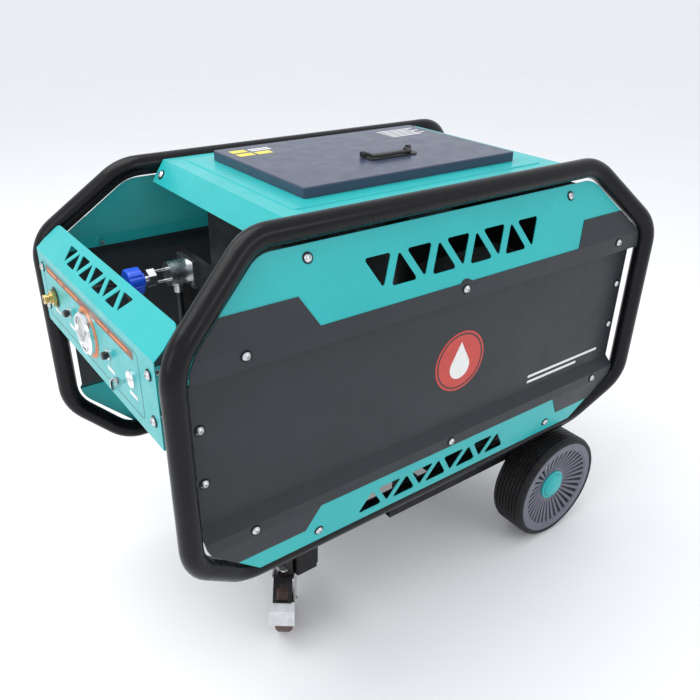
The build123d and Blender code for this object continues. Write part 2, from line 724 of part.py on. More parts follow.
def lid_handle():
    """Folding handle on the lid: a bracket with two lugs, and a bail that lies flat in it."""
    top = lid_bottom() + LID_H
    plate = Pos(HANDLE_X, HANDLE_Y, top + HANDLE_PLATE_T / 2) * Box(
        HANDLE_L + 16, HANDLE_W + 8, HANDLE_PLATE_T)
    bracket = rounded(plate, Axis.Z, 10)
    axis_y = HANDLE_Y + HANDLE_W / 2 - 4
    axis_z = top + HANDLE_PLATE_T + BAIL_R + 0.6
    lug_r = BAIL_R + 2.4
    lug_x = HANDLE_L / 2 + BAIL_R - 1
    for side in (-1, 1):
        xa, xb = sorted((HANDLE_X + side * lug_x, HANDLE_X + side * (lug_x + HANDLE_LUG_W)))
        lug = rod(lug_r, (xa, axis_y, axis_z), (xb, axis_y, axis_z))
        lug += block(xa, xb, axis_y - lug_r, axis_y + lug_r, top + 1, axis_z)
        bracket += lug
    bracket -= rod(BAIL_PIVOT_R + BORE_FIT, (HANDLE_X - HANDLE_L, axis_y, axis_z),
                   (HANDLE_X + HANDLE_L, axis_y, axis_z))
    reach = HANDLE_W - 6
    half = HANDLE_L / 2 - BAIL_R - 1
    shoulder = lug_x - 0.5
    tip = lug_x + HANDLE_LUG_W - 0.6
    outline = [(-shoulder, 0), (-half, 0), (-half, -reach), (half, -reach), (half, 0), (shoulder, 0)]
    corners = [(HANDLE_X + x, axis_y + y, axis_z) for x, y in outline]
    path = FilletPolyline(*corners, radius=[BAIL_R + 0.8, 9, 9, BAIL_R + 0.8])
    bail = sweep(Plane(origin=path @ 0, z_dir=path % 0) * Circle(BAIL_R), path=path)
    for side in (-1, 1):
        bail += rod(BAIL_PIVOT_R, (HANDLE_X + side * (shoulder - 1), axis_y, axis_z),
                    (HANDLE_X + side * tip, axis_y, axis_z))
    keep("lid_handle_bracket", bracket)
    keep("lid_handle_bail", bail)


# ---------------------------------------------------------------- control panel
def control_holes():
    """(y offset, bore diameter) of each fitting in the control panel's face."""
    return [(OUTLET_OFFSET, 2 * OUTLET_TAIL_R + 0.6), (CONTROL_STEP, 2 * COLLAR_R + 0.4),
            (0.0, GAUGE_BODY_D + 1.0), (-CONTROL_STEP, 2 * COLLAR_R + 0.4),
            (KEY_OFFSET, 2 * SWITCH_R + 0.8)]


def face_plane(offset, proud=0.0):
    """Plane on the control panel's face at a fitting, z towards the front."""
    return Plane(origin=(FACE_X - proud, CONTROL_MID_Y + offset, CONTROL_Z),
                 x_dir=(0, -1, 0), z_dir=(-1, 0, 0))


def control_panel():
    """Folded sheet between the front posts: face, slanted top with vents and a bottom return."""
    half_y = POST_Y - TUBE_R - FACE_GAP
    path = [(FACE_X + SLANT_RUN, FACE_Z1 + SLANT_RISE), (FACE_X, FACE_Z1),
            (FACE_X, FACE_Z0), (FACE_X + FACE_RETURN, FACE_Z0)]
    profile = Plane.XZ * make_face(Polyline(*folded_outline(path, SHEET), close=True))
    sheet = Pos(0, half_y, 0) * extrude(profile, 2 * half_y)
    top_z = FACE_Z1 + SLANT_RISE - 2
    corners = [edge for edge in sheet.edges() if edge.length < 2 * SHEET
               and edge.center().Z > top_z and abs(abs(edge.center().Y) - half_y) < 0.1]
    sheet = fillet(corners, SLANT_CORNER_R)
    slope = math.atan2(SLANT_RISE, SLANT_RUN)
    tilt = Plane(origin=(FACE_X, 0, FACE_Z1), x_dir=(0, -1, 0),
                 z_dir=(-math.sin(slope), 0, math.cos(slope)))
    along = math.hypot(SLANT_RUN, SLANT_RISE)
    low = (along - FACE_VENT_H) / 2 + 1
    for points in triangle_row(VENT_COUNT, FACE_VENT_PITCH, FACE_VENT_BASE, FACE_VENT_H,
                               -FACE_VENT_MID_Y, low, True):
        cutter = extrude(make_face(FilletPolyline(*points, radius=2.0, close=True)), 12, both=True)
        sheet -= tilt * cutter
    bar = diagonal_bar(TUBE_R + FACE_GAP - 1)
    sheet = sheet - bar - other_side(bar)
    for offset, diameter in control_holes():
        sheet -= face_plane(offset) * Cylinder(diameter / 2, 20)
    return drill(sheet, face_screw_planes(), SCREW_HOLE_D, 20)


def gauge():
    """Pressure gauge: case with bezel, dial, needle on its spindle, and glass."""
    place = face_plane(0)
    rim_r, body_r = GAUGE_D / 2, GAUGE_BODY_D / 2
    dial_z, glass_z = 4.0, 8.0
    spindle_r = 1.2
    case = turned([
        (0, -GAUGE_DEPTH), (body_r - 4, -GAUGE_DEPTH), (body_r, -GAUGE_DEPTH + 4), (body_r, 0),
        (rim_r, 0), (rim_r, GAUGE_PROUD - 3), (rim_r - 3, GAUGE_PROUD), (rim_r - 6, GAUGE_PROUD),
        (rim_r - 6.4, glass_z), (rim_r - 5, glass_z), (rim_r - 5, glass_z - 2),
        (rim_r - 6.4, glass_z - 2), (rim_r - 6.4, dial_z - 1), (spindle_r + PIN_FIT, dial_z - 1),
        (spindle_r + PIN_FIT, -GAUGE_DEPTH + 6), (0, -GAUGE_DEPTH + 6),
    ])
    stem = rod(6.5, (0, -body_r + 2, -GAUGE_DEPTH / 2), (0, -body_r - 18, -GAUGE_DEPTH / 2))
    keep("gauge_case", place * (case + stem))
    dial = cyl(rim_r - 6.6, dial_z - 0.9, dial_z) - cyl(2.0, 0, 10)
    keep("gauge_dial", place * dial)
    hub = cyl(3.2, dial_z + 0.6, dial_z + 2.0) + cyl(spindle_r, -GAUGE_DEPTH + 8, dial_z + 1)
    blade = Pos(0, 0, dial_z + 0.9) * extrude(make_face(Polyline(
        (-1.3, -8), (1.3, -8), (1.1, 0), (0.25, rim_r - 11), (-0.25, rim_r - 11), (-1.1, 0),
        close=True)), 0.6)
    needle = Rot(0, 0, NEEDLE_REST) * (hub + blade)
    keep("gauge_needle", place * needle)
    keep("gauge_glass", place * cyl(rim_r - 5.1, glass_z - 1.9, glass_z - 0.1))


def outlet_nipple():
    """High-pressure outlet: a hexagon seat outside and a threaded tail inside the panel."""
    hexagon = extrude(RegularPolygon(13.5, 6, major_radius=False), 8)
    spigot = turned([(0, 8), (9.5, 8), (9.5, 12), (7.2, 13.5), (7.2, 16), (9.0, 17.5),
                     (9.0, 21), (8.0, 22), (0, 22)])
    tail = cyl(OUTLET_TAIL_R, -OUTLET_TAIL_L, 0)
    nut = Pos(0, 0, -SHEET - 8) * extrude(RegularPolygon(14, 6, major_radius=False), 8)
    bore = cyl(OUTLET_BORE_R, -30, 30)
    return face_plane(OUTLET_OFFSET) * (hexagon + spigot + tail + nut - bore)


def pull_knob(offset):
    """Pull knob: a collar that stays, and the knob with its rod that slides in it."""
    place = face_plane(offset)
    collar = cyl(9.0, 0, 2.5) + cyl(COLLAR_R, -16, 0) - cyl(PULL_ROD_R + BORE_FIT, -20, 4)
    knob = turned([(0, 3.2), (5.2, 3.2), (6.6, 5.0), (6.6, 10.0), (5.2, 12.0), (0, 12.0)])
    return place * collar, place * (knob + cyl(PULL_ROD_R, -PULL_ROD_L, 4))


def key_switch():
    """Ignition switch: a fixed barrel, and the key with its turning core."""
    place = face_plane(KEY_OFFSET)
    barrel = turned([(0, -34), (SWITCH_R, -34), (SWITCH_R, 0), (14.0, 0), (14.0, 2.5),
                     (12.5, 4.0), (0, 4.0)])
    barrel -= cyl(KEY_CORE_R + BORE_FIT, -20, 10)
    core = cyl(KEY_CORE_R, -19.5, 4.4)
    shaft = Pos(0, 0, 11) * Box(2.2, 7.0, 14)
    bow = Pos(0, 0, KEY_PROUD - 8) * rounded(Box(2.6, 20, 16), Axis.X, 6)
    bow -= Pos(0, 0, KEY_PROUD - 6) * Rot(0, 90, 0) * Cylinder(2.6, 10)
    keep("key_switch", place * barrel)
    keep("ignition_key", place * (core + shaft + bow))


# ---------------------------------------------------------------- rear wheels
def wheel_place(shape):
    """From the wheel's own frame (z outwards from its inner face) to the left wheel's place."""
    plane = Plane(origin=(WHEEL_X, -(WHEEL_FACE_Y - WHEEL_W), WHEEL_D / 2),
                  x_dir=(1, 0, 0), z_dir=(0, -1, 0))
    return plane * shape


def tyre():
    """Solid rubber tyre with ribs round the tread."""
    r, w = WHEEL_D / 2, WHEEL_W
    seat = TYRE_SEAT_R + 0.2
    lip = RING_OUT_R + 0.3
    profile = [(seat, 2), (r - 9, 0), (r - 3, 3), (r, 10), (r, w - 10), (r - 3, w - 3),
               (r - 9, w), (lip, w), (lip, RIM_FACE - RIM_T - 0.3), (seat, RIM_FACE - RIM_T - 0.3)]
    body = turned(profile)
    for i in range(-3, 4):
        z = w / 2 + i * 9.0
        body -= cyl(r + 1, z - 1.1, z + 1.1) - cyl(r - 2.2, z - 2, z + 2)
    return body


def rim():
    """Dished rim with radial slots, a barrel for the tyre and a hub."""
    face, t = RIM_FACE, RIM_T
    inner_z = face - DISH
    body = turned([
        (AXLE_D / 2 + BORE_FIT, 2), (HUB_R, 2), (HUB_R, inner_z - t), (SLOT_IN_R - 3, inner_z - t),
        (RING_IN_R, face - t), (TYRE_SEAT_R - 6, face - t), (TYRE_SEAT_R - 6, 4),
        (TYRE_SEAT_R, 4), (TYRE_SEAT_R, face - t), (RING_OUT_R, face - t), (RING_OUT_R, face),
        (RING_IN_R + 2, face), (RING_IN_R, face - 1.5), (SLOT_IN_R - 4, inner_z), (30, inner_z),
        (30, inner_z - 7), (AXLE_D / 2 + BORE_FIT, inner_z - 7),
    ])
    pitch = 360 / SPOKE_COUNT
    r0, r1 = SLOT_IN_R, RING_IN_R - 2
    half0, half1 = 0.9, r1 * math.radians(pitch) * 0.27
    outline = Polyline((r0, -half0), (r1, -half1), (r1, half1), (r0, half0), close=True)
    slot = extrude(make_face(outline), WHEEL_W)
    for i in range(SPOKE_COUNT):
        body -= Rot(0, 0, i * pitch) * Pos(0, 0, inner_z - 3 * t) * slot
    return body


def hub_cap():
    """Domed cap over the hub."""
    z = RIM_FACE - DISH + 0.2
    return turned([(0, z + 6), (27, z + 6), (27, z), (CAP_R, z), (CAP_R, z + 3),
                   (CAP_R - 3, z + 4.2), (CAP_R - 5, z + 4.2), (CAP_R - 8, z + 8.0),
                   (CAP_R - 16, z + 11.4), (CAP_R - 26, z + 13.0), (0, z + 13.5)])


def wheels_and_axle():
    """Both rear wheels, the axle they turn on and its nuts."""
    parts = {"tyre": tyre(), "rim": rim(), "hub_cap": hub_cap()}
    for name, shape in parts.items():
        left = wheel_place(shape)
        keep("left_" + name, left)
        keep("right_" + name, other_side(left))
    z = WHEEL_D / 2
    shoulder = WHEEL_FACE_Y - WHEEL_W - 1.6
    hub_end = WHEEL_FACE_Y - WHEEL_W + RIM_FACE - DISH - 7
    end = hub_end + 12
    axle = rod(AXLE_MID_D / 2, (WHEEL_X, -shoulder, z), (WHEEL_X, shoulder, z))
    axle += rod(AXLE_D / 2, (WHEEL_X, -end, z), (WHEEL_X, end, z))
    keep("axle", axle)
    nut = extrude(RegularPolygon(15, 6, major_radius=False), 9) + cyl(18, -1.2, 0)
    nut -= cyl(AXLE_D / 2, -5, 20)
    plane = Plane(origin=(WHEEL_X, -hub_end - 1.6, z), z_dir=(0, -1, 0))
    left = plane * nut
    keep("axle_nuts", Compound([left, other_side(left)]))


# ---------------------------------------------------------------- under-frame
def hanger(x, z_low):
    """Plate that hangs from the left bottom rail down to the under-frame, at one x."""
    half = HANGER_W / 2
    top = BOTTOM_RAIL_Z + HANGER_ARM_H / 2
    plate = block(x - half, x + half, -SIDE_RAIL_Y, -SIDE_RAIL_Y + HANGER_T, z_low, top)
    arm_y = -(BOTTOM_RAIL_Y - TUBE_R * 0.7)
    arm = block(x - half, x + half, arm_y, -SIDE_RAIL_Y, top - HANGER_ARM_H, top)
    return plate + arm - bottom_rail_tool()


def box_tube(length, width, height, wall):
    """Rectangular tube along Y."""
    return Box(width, length, height) - Box(width - 2 * wall, length + 2, height - 2 * wall)


def front_frame():
    """Front cross member that carries the casters, with its hangers."""
    half = SIDE_RAIL_Y - HANGER_T
    mid_z = CASTER_H + CROSS_H / 2
    frame = Pos(CASTER_X, 0, mid_z) * box_tube(2 * half, CROSS_W, CROSS_H, CROSS_WALL)
    left = hanger(CASTER_X, CASTER_H)
    return frame + left + other_side(left)


def rear_frame():
    """Rear cross member, side rails, axle plates and hangers, welded into one."""
    inner = SIDE_RAIL_Y - SIDE_RAIL_W
    mid_z = CASTER_H + CROSS_H / 2
    frame = Pos(WHEEL_X, 0, mid_z) * box_tube(2 * inner, CROSS_W, CROSS_H, CROSS_WALL)
    wall = SIDE_RAIL_WALL
    z0 = FLOOR_Z - SIDE_RAIL_DROP
    left = block(SIDE_RAIL_X0, SIDE_RAIL_X1, -SIDE_RAIL_Y, -inner, z0, z0 + SIDE_RAIL_W)
    left -= block(SIDE_RAIL_X0 - 1, SIDE_RAIL_X1 + 1, -SIDE_RAIL_Y + wall, -inner - wall,
                  z0 + wall, z0 + SIDE_RAIL_W - wall)
    plate = prism([(WHEEL_X - 45, z0), (WHEEL_X + 45, z0), (WHEEL_X + 26, WHEEL_D / 2 - 20),
                   (WHEEL_X - 26, WHEEL_D / 2 - 20)], Plane.XZ, HANGER_T, 8)
    left += Pos(0, -SIDE_RAIL_Y + HANGER_T, 0) * plate
    for x in HANGER_X:
        left += hanger(x, z0)
    frame += left + other_side(left)
    z = WHEEL_D / 2
    bore = rod(AXLE_MID_D / 2 + BORE_FIT, (WHEEL_X, -POST_Y, z), (WHEEL_X, POST_Y, z))
    return frame - bore


def base_tray():
    """Folded tray that the power unit stands on."""
    path = [(-TRAY_HALF_Y, FLOOR_Z + TRAY_LIP), (-TRAY_HALF_Y, FLOOR_Z),
            (TRAY_HALF_Y, FLOOR_Z), (TRAY_HALF_Y, FLOOR_Z + TRAY_LIP)]
    face = Plane.YZ * make_face(Polyline(*folded_outline(path, TRAY_T), close=True))
    return Pos(TRAY_X0, 0, 0) * extrude(face, TRAY_X1 - TRAY_X0)


# ---------------------------------------------------------------- casters
def caster_plane(side):
    """Frame of a caster: z up from the ground on the swivel axis, x towards the trailing wheel."""
    yaw = math.radians(CASTER_YAW)
    return Plane(origin=(CASTER_X, side * CASTER_Y, 0), x_dir=(math.cos(yaw), math.sin(yaw), 0),
                 z_dir=(0, 0, 1))


def caster_plate():
    """Top plate with its bearing cup and king pin, in the machine's directions."""
    top = CASTER_H
    plate = Pos(0, 0, top - PLATE_T / 2) * Box(PLATE_X, PLATE_Y, PLATE_T)
    plate = rounded(plate, Axis.Z, 8)
    for sx in (-1, 1):
        for sy in (-1, 1):
            hole = Pos(sx * (PLATE_X / 2 - 12), sy * (PLATE_Y / 2 - 12), top)
            plate -= hole * Cylinder(4.5, 20)
    cup = turned([(0, top - PLATE_T), (27, top - PLATE_T), (27, top - 9), (31, top - 13),
                  (0, top - 13)])
    return plate + cup + cyl(KING_PIN_R, top - 26, top - 10)


def caster_fork():
    """Fork with a crown under the bearing, two legs that trail back and the riveted axle."""
    crown_top = CASTER_H - 13.4
    crown_low = crown_top - 4
    gap = CASTER_WHEEL_W / 2 + 2.5
    crown = cyl(30, crown_low, crown_top)
    crown += block(0, CASTER_TRAIL + 6, -gap - FORK_T, gap + FORK_T, crown_low, crown_top)
    axle_z = CASTER_WHEEL_D / 2
    side_view = [(-20, crown_top), (CASTER_TRAIL + 34, crown_top),
                 (CASTER_TRAIL + 30, crown_top - 26), (CASTER_TRAIL + 13, axle_z - 4),
                 (CASTER_TRAIL, axle_z - 14), (CASTER_TRAIL - 14, axle_z - 2)]
    leg = prism(side_view, Plane.XZ, FORK_T, 5)
    fork = crown
    for y in (gap + FORK_T, -gap):
        fork += Pos(0, y, 0) * leg
    fork -= cyl(KING_PIN_R + BORE_FIT, crown_low - 20, crown_top + 5)
    reach = gap + FORK_T
    fork += rod(CASTER_AXLE_R, (CASTER_TRAIL, -reach - 1, axle_z),
                (CASTER_TRAIL, reach + 1, axle_z))
    for side in (-1, 1):
        fork += rod(8.0, (CASTER_TRAIL, side * reach, axle_z),
                    (CASTER_TRAIL, side * (reach + 3), axle_z))
    fork -= rod(LOCK_PIVOT_R + BORE_FIT, (LOCK_X, -PLATE_X, LOCK_Z), (LOCK_X, PLATE_X, LOCK_Z))
    return fork


def caster_wheel():
    """Caster wheel: tread and core in one piece, bored for the axle."""
    r, w = CASTER_WHEEL_D / 2, CASTER_WHEEL_W / 2
    bore = CASTER_AXLE_R + BORE_FIT
    profile = [(bore, -w - 1.5), (14, -w - 1.5), (14, -w + 4), (r - 16, -w + 4), (r - 13, -w),
               (r - 4, -w), (r, -w + 5), (r, w - 5), (r - 4, w), (r - 13, w), (r - 16, w - 4),
               (14, w - 4), (14, w + 1.5), (bore, w + 1.5)]
    plane = Plane(origin=(CASTER_TRAIL, 0, r), x_dir=(1, 0, 0), z_dir=(0, -1, 0))
    return plane * turned(profile)


def caster_lock():
    """Foot lever of the wheel lock: a dark frame on the pivot and a pale pedal below it."""
    half = CASTER_WHEEL_W / 2 + 2.0
    pivot = rod(LOCK_PIVOT_R, (LOCK_X, -half - 3, LOCK_Z), (LOCK_X, half + 3, LOCK_Z))
    frame_path = [(LOCK_X - 4, LOCK_Z + 2), (LOCK_X + 14, LOCK_Z - 2), (LOCK_X + 33, LOCK_Z - 30)]
    profile = Plane.XZ * make_face(Polyline(*folded_outline(frame_path, 4.0), close=True))
    frame = Pos(0, half, 0) * extrude(profile, 2 * half)
    window = block(LOCK_X + 16, LOCK_X + 40, -half + 7, half - 7, LOCK_Z - 26, LOCK_Z + 10)
    frame = frame - window + pivot
    pedal_path = [(LOCK_X + 29, LOCK_Z - 33), (LOCK_X + 42, LOCK_Z - 44),
                  (LOCK_X + 50, LOCK_Z - 72)]
    profile = Plane.XZ * make_face(Polyline(*folded_outline(pedal_path, 3.0), close=True))
    wide = half + 7
    pedal = Pos(0, wide, 0) * extrude(profile, 2 * wide)
    return frame, pedal


def casters():
    """Both front casters."""
    fork, wheel = caster_fork(), caster_wheel()
    frame, pedal = caster_lock()
    for side, name in ((-1, "left"), (1, "right")):
        plane = caster_plane(side)
        keep(name + "_caster_plate", Pos(CASTER_X, side * CASTER_Y, 0) * caster_plate())
        keep(name + "_caster_fork", plane * fork)
        keep(name + "_caster_wheel", plane * wheel)
        keep(name + "_caster_lock_frame", plane * frame)
        keep(name + "_caster_pedal", plane * pedal)


# ---------------------------------------------------------------- inner walls
def profile_y(profile, z):
    """Y of a rising (y, z) profile at a height."""
    for (ya, za), (yb, zb) in zip(profile, profile[1:]):
        if za <= z <= zb:
            return ya + (yb - ya) * (z - za) / (zb - za)
    return profile[-1][0]


def inner_section(z0, z1, gap):
    """Left edge of a wall between the side panels from z0 up to z1, as (y, z) points."""
    clear = 2 * SHEET + gap
    ridge_low = RIDGE_TOP_Z - RIDGE_H
    y_ridge = -POST_Y + clear
    y_field = -POST_Y + FIELD_DEPTH + clear
    profile = [(low_lean_y(LOWER_EDGE_Z) + clear, LOWER_EDGE_Z), (y_ridge, BAND_Z),
               (y_ridge, BAND_Z + LOW_BAND_H - 3), (y_field, FIELD_BOTTOM_Z - 3),
               (y_field, ridge_low - STEP_H + 3), (y_ridge, ridge_low + 3), (y_ridge, RIDGE_TOP_Z),
               (lean_y(TOP_RAIL_Z) + clear, TOP_RAIL_Z)]
    points = [(y, z) for y, z in profile if z0 < z < z1]
    return [(profile_y(profile, z0), z0), *points, (profile_y(profile, z1), z1)]


def rear_cover():
    """Louvred sheet across the rear, between the side panels."""
    half = inner_section(REAR_COVER_Z0, REAR_COVER_Z1, WALL_GAP)
    outline = half + [(-y, z) for y, z in half[::-1]]
    sheet = Pos(REAR_COVER_X, 0, 0) * prism(outline, Plane.YZ, SHEET)
    for i in range(LOUVRE_COUNT):
        z = LOUVRE_Z0 + i * LOUVRE_PITCH
        slot = block(REAR_COVER_X - 5, REAR_COVER_X + 5, -LOUVRE_HALF_Y, LOUVRE_HALF_Y,
                     z, z + LOUVRE_H)
        sheet -= rounded(slot, Axis.X, LOUVRE_H / 2 - 0.2)
    return sheet


def front_bulkhead():
    """Inner wall under the cover's front end, low on the right where the valve bolts to it."""
    half = inner_section(BULKHEAD_Z0, BULKHEAD_Z1, WALL_GAP)
    step_z = VALVE_Z + 38
    end_y = VALVE_Y + 55
    outline = half + [(BULKHEAD_STEP_Y, BULKHEAD_Z1), (BULKHEAD_STEP_Y, step_z), (end_y, step_z),
                      (end_y, BULKHEAD_Z0)]
    return Pos(BULKHEAD_X, 0, 0) * prism(outline, Plane.YZ, SHEET)


# ---------------------------------------------------------------- power unit
def engine_block():
    """Crankcase on feet with an inclined, finned cylinder and its head."""
    x0, x1 = ENGINE_X - CASE_HALF_X, ENGINE_X + CASE_HALF_X
    base = FLOOR_Z + TRAY_T
    case = block(x0, x1, CRANK_Y - CASE_HALF_Y, CRANK_Y + CASE_HALF_Y, base + 10, CASE_TOP_Z)
    case = rounded(case, Axis.X, 22)
    for side in (-1, 1):
        y = CRANK_Y + side * (CASE_HALF_Y - 13)
        case += block(x0 - 12, x1 + 12, y - 20, y + 20, base, base + 12)
    lean = Pos(ENGINE_X, CRANK_Y, CRANK_Z) * Rot(CYLINDER_LEAN, 0, 0)
    barrel = cyl(CYLINDER_R, 60, FIN_START + FIN_COUNT * FIN_PITCH)
    for i in range(FIN_COUNT):
        fin = Pos(0, 0, FIN_START + i * FIN_PITCH) * Box(FIN_X, FIN_W, FIN_T)
        barrel += rounded(fin, Axis.Z, 24)
    head = Pos(0, 0, FIN_START + FIN_COUNT * FIN_PITCH + HEAD_H / 2 - 3) * Box(HEAD_X, HEAD_W, HEAD_H)
    return case + lean * (barrel + rounded(head, Axis.Z, 14))


def engine_shroud():
    """Fan housing on the rear of the engine with an air grille."""
    x0 = ENGINE_X + CASE_HALF_X + JOINT_GAP
    x1 = x0 + SHROUD_DEPTH
    drum = rod(SHROUD_R, (x0, CRANK_Y, CRANK_Z), (x1, CRANK_Y, CRANK_Z))
    drum = fillet(drum.edges().sort_by(Axis.X)[-1], 16)
    drum -= rod(SHROUD_R - 4, (x0 - 1, CRANK_Y, CRANK_Z), (x1 - 20, CRANK_Y, CRANK_Z))
    for ring in range(2, 6):
        for i in range(ring * 6):
            turn = 2 * math.pi * i / (ring * 6)
            reach = ring * GRILLE_PITCH
            y, z = CRANK_Y + reach * math.cos(turn), CRANK_Z + reach * math.sin(turn)
            drum -= rod(GRILLE_HOLE_R, (x1 - 26, y, z), (x1 + 4, y, z))
    return drum


def muffler():
    """Exhaust silencer beside the tank, carried on a short pipe from the head."""
    y, half = MUFFLER_Y, MUFFLER_W / 2
    body = block(ENGINE_X - 110, ENGINE_X + 90, y - half, y + half, MUFFLER_Z0, MUFFLER_Z1)
    body = rounded(body, Axis.X, 30)
    t = MUFFLER_WALL
    hollow = block(ENGINE_X - 110 + t, ENGINE_X + 90 - t, y - half + t, y + half - t,
                   MUFFLER_Z0 + t, MUFFLER_Z1 - t)
    mid_z = (MUFFLER_Z0 + MUFFLER_Z1) / 2
    pipe = rod(14, (ENGINE_X - 20, y, MUFFLER_Z0 - MUFFLER_PIPE_L), (ENGINE_X - 20, y, MUFFLER_Z0 + 1))
    outlet = rod(13, (ENGINE_X + 88, y, mid_z), (ENGINE_X + 135, y, mid_z))
    bore = rod(11, (ENGINE_X + 70, y, mid_z), (ENGINE_X + 140, y, mid_z))
    return body + pipe + outlet - rounded(hollow, Axis.X, 30 - t) - bore


def fuel_tank():
    """Fuel tank on four legs over the crankcase, its neck under the lid's opening."""
    x0, x1 = ENGINE_X - TANK_FRONT, ENGINE_X + TANK_REAR
    tank = rounded(block(x0, x1, TANK_Y0, TANK_Y1, TANK_Z0, TANK_Z1), Axis.Z, 36)
    tank = fillet(tank.faces().sort_by(Axis.Z)[-1].edges(), 20)
    tank += cyl(26, TANK_Z1 - 2, TANK_Z1 + NECK_H, TANK_CAP_X, TANK_CAP_Y)
    for x in (ENGINE_X - TANK_LEG_X, ENGINE_X + TANK_LEG_X):
        for y in TANK_LEG_Y:
            tank += cyl(TANK_LEG_R, CASE_TOP_Z, TANK_Z0 + 2, x, y)
    tank -= cyl(NECK_R, TANK_Z1 - 16, TANK_Z1 + NECK_H + 6, TANK_CAP_X, TANK_CAP_Y)
    return tank


def fuel_cap():
    """Ribbed filler cap that turns on the neck."""
    z = TANK_Z1 + NECK_H + 0.3
    cap = cyl(CAP_GRIP_R, z, z + 18, TANK_CAP_X, TANK_CAP_Y)
    cap = chamfer(cap.edges().sort_by(Axis.Z)[-1], 2)
    cap += cyl(NECK_R - 0.4, z - 12, z + 1, TANK_CAP_X, TANK_CAP_Y)
    for i in range(12):
        turn = 2 * math.pi * i / 12
        x = TANK_CAP_X + (CAP_GRIP_R + 2) * math.cos(turn)
        y = TANK_CAP_Y + (CAP_GRIP_R + 2) * math.sin(turn)
        cap -= cyl(3.4, z - 1, z + 14, x, y)
    return cap


def pump_body():
    """Plunger pump flanged to the engine: bell, crankcase, and the valve head on its side."""
    face = ENGINE_X - CASE_HALF_X - JOINT_GAP
    bell = rod(BELL_R, (face - 40, CRANK_Y, CRANK_Z), (face, CRANK_Y, CRANK_Z))
    case = block(face - PUMP_LENGTH, face - 38, CRANK_Y - PUMP_HALF_Y, CRANK_Y + PUMP_HALF_Y,
                 CRANK_Z - PUMP_HALF_Y - 6, CRANK_Z + PUMP_HALF_Y)
    head_y = CRANK_Y + PUMP_HALF_Y - 2
    head = block(face - PUMP_LENGTH + 10, face - 48, head_y, head_y + VALVE_HEAD_W,
                 CRANK_Z - 52, CRANK_Z + 46)
    body = bell + rounded(case, Axis.X, 18) + rounded(head, Axis.Z, 10)
    for i in (-1, 0, 1):
        x = face - 114 + i * PLUNGER_STEP
        body += cyl(15, CRANK_Z + 44, CRANK_Z + 58, x, head_y + 30)
        body += rod(15, (x, head_y + 56, CRANK_Z - 22), (x, head_y + 70, CRANK_Z - 22))
    inlet_x = face - PUMP_LENGTH
    inlet = rod(12, (inlet_x - 15, head_y + 28, CRANK_Z - 20), (inlet_x + 12, head_y + 28, CRANK_Z - 20))
    riser = cyl(9, CRANK_Z + 56, CRANK_Z + 76, face - 114, head_y + 30)
    return body + inlet + riser


def valve_point(x, dy=0.0, dz=0.0):
    """Point on the unloader valve's axis."""
    return (x, VALVE_Y + dy, VALVE_Z + dz)


def unloader_valve():
    """Unloader: body bolted to the bulkhead, guide rods, spring seat and threaded stem."""
    x = BULKHEAD_X - JOINT_GAP
    body = rod(VALVE_R, valve_point(x - VALVE_L), valve_point(x))
    body += block(x - 8, x, VALVE_Y - 34, VALVE_Y + 34, VALVE_Z - 26, VALVE_Z + 26)
    body += rod(10, valve_point(x - HOSE_PORT), valve_point(x - HOSE_PORT, dz=-PORT_L))
    for dz in (-11, 11):
        body += rod(2.6, valve_point(x - 72, dz=dz), valve_point(x - VALVE_L + 2, dz=dz))
    seat_plane = Plane(origin=valve_point(x - 84), z_dir=(1, 0, 0))
    seat = seat_plane * extrude(RegularPolygon(15, 6, major_radius=False), 14)
    stem = rod(STEM_R, valve_point(x - STEM_L), valve_point(x - 80))
    return body + seat + stem


def pressure_knob():
    """Handwheel that turns on the unloader's stem."""
    x = BULKHEAD_X - KNOB_FACE
    knob = rod(KNOB_R, valve_point(x - 26), valve_point(x))
    knob = fillet(knob.edges().sort_by(Axis.X)[0], 5)
    knob += rod(13, valve_point(x - 1), valve_point(x + 7))
    for i in range(10):
        turn = 2 * math.pi * i / 10
        reach = KNOB_R + 2.5
        dy, dz = reach * math.cos(turn), reach * math.sin(turn)
        knob -= rod(4.2, valve_point(x - 30, dy, dz), valve_point(x + 3, dy, dz))
    return knob - rod(STEM_R + BORE_FIT, valve_point(x - 21), valve_point(x + 20))


def pressure_hose():
    """High-pressure hose from the unloader down and forward to the outlet nipple."""
    x = BULKHEAD_X - JOINT_GAP - HOSE_PORT
    outlet = face_plane(OUTLET_OFFSET).origin
    low_z = VALVE_Z - HOSE_DROP
    front_x = x - HOSE_RUN
    corners = [valve_point(x, dz=-PORT_L), (x, VALVE_Y, low_z), (front_x, outlet.Y, low_z),
               (front_x, outlet.Y, CONTROL_Z), (FACE_X + OUTLET_TAIL_L + JOINT_GAP, outlet.Y, CONTROL_Z)]
    runs = [(Vector(*b) - Vector(*a)).length for a, b in zip(corners, corners[1:])]
    radii = [0.45 * min(pair) for pair in zip(runs, runs[1:])]
    path = FilletPolyline(*corners, radius=radii)
    hose = sweep(Plane(origin=path @ 0, z_dir=path % 0) * Circle(HOSE_D / 2), path=path)
    print("pressure hose length", round(path.length), "radii", [round(r) for r in radii],
          "volume ratio", round(hose.volume / (math.pi * HOSE_D ** 2 / 4 * path.length), 4))
    return hose


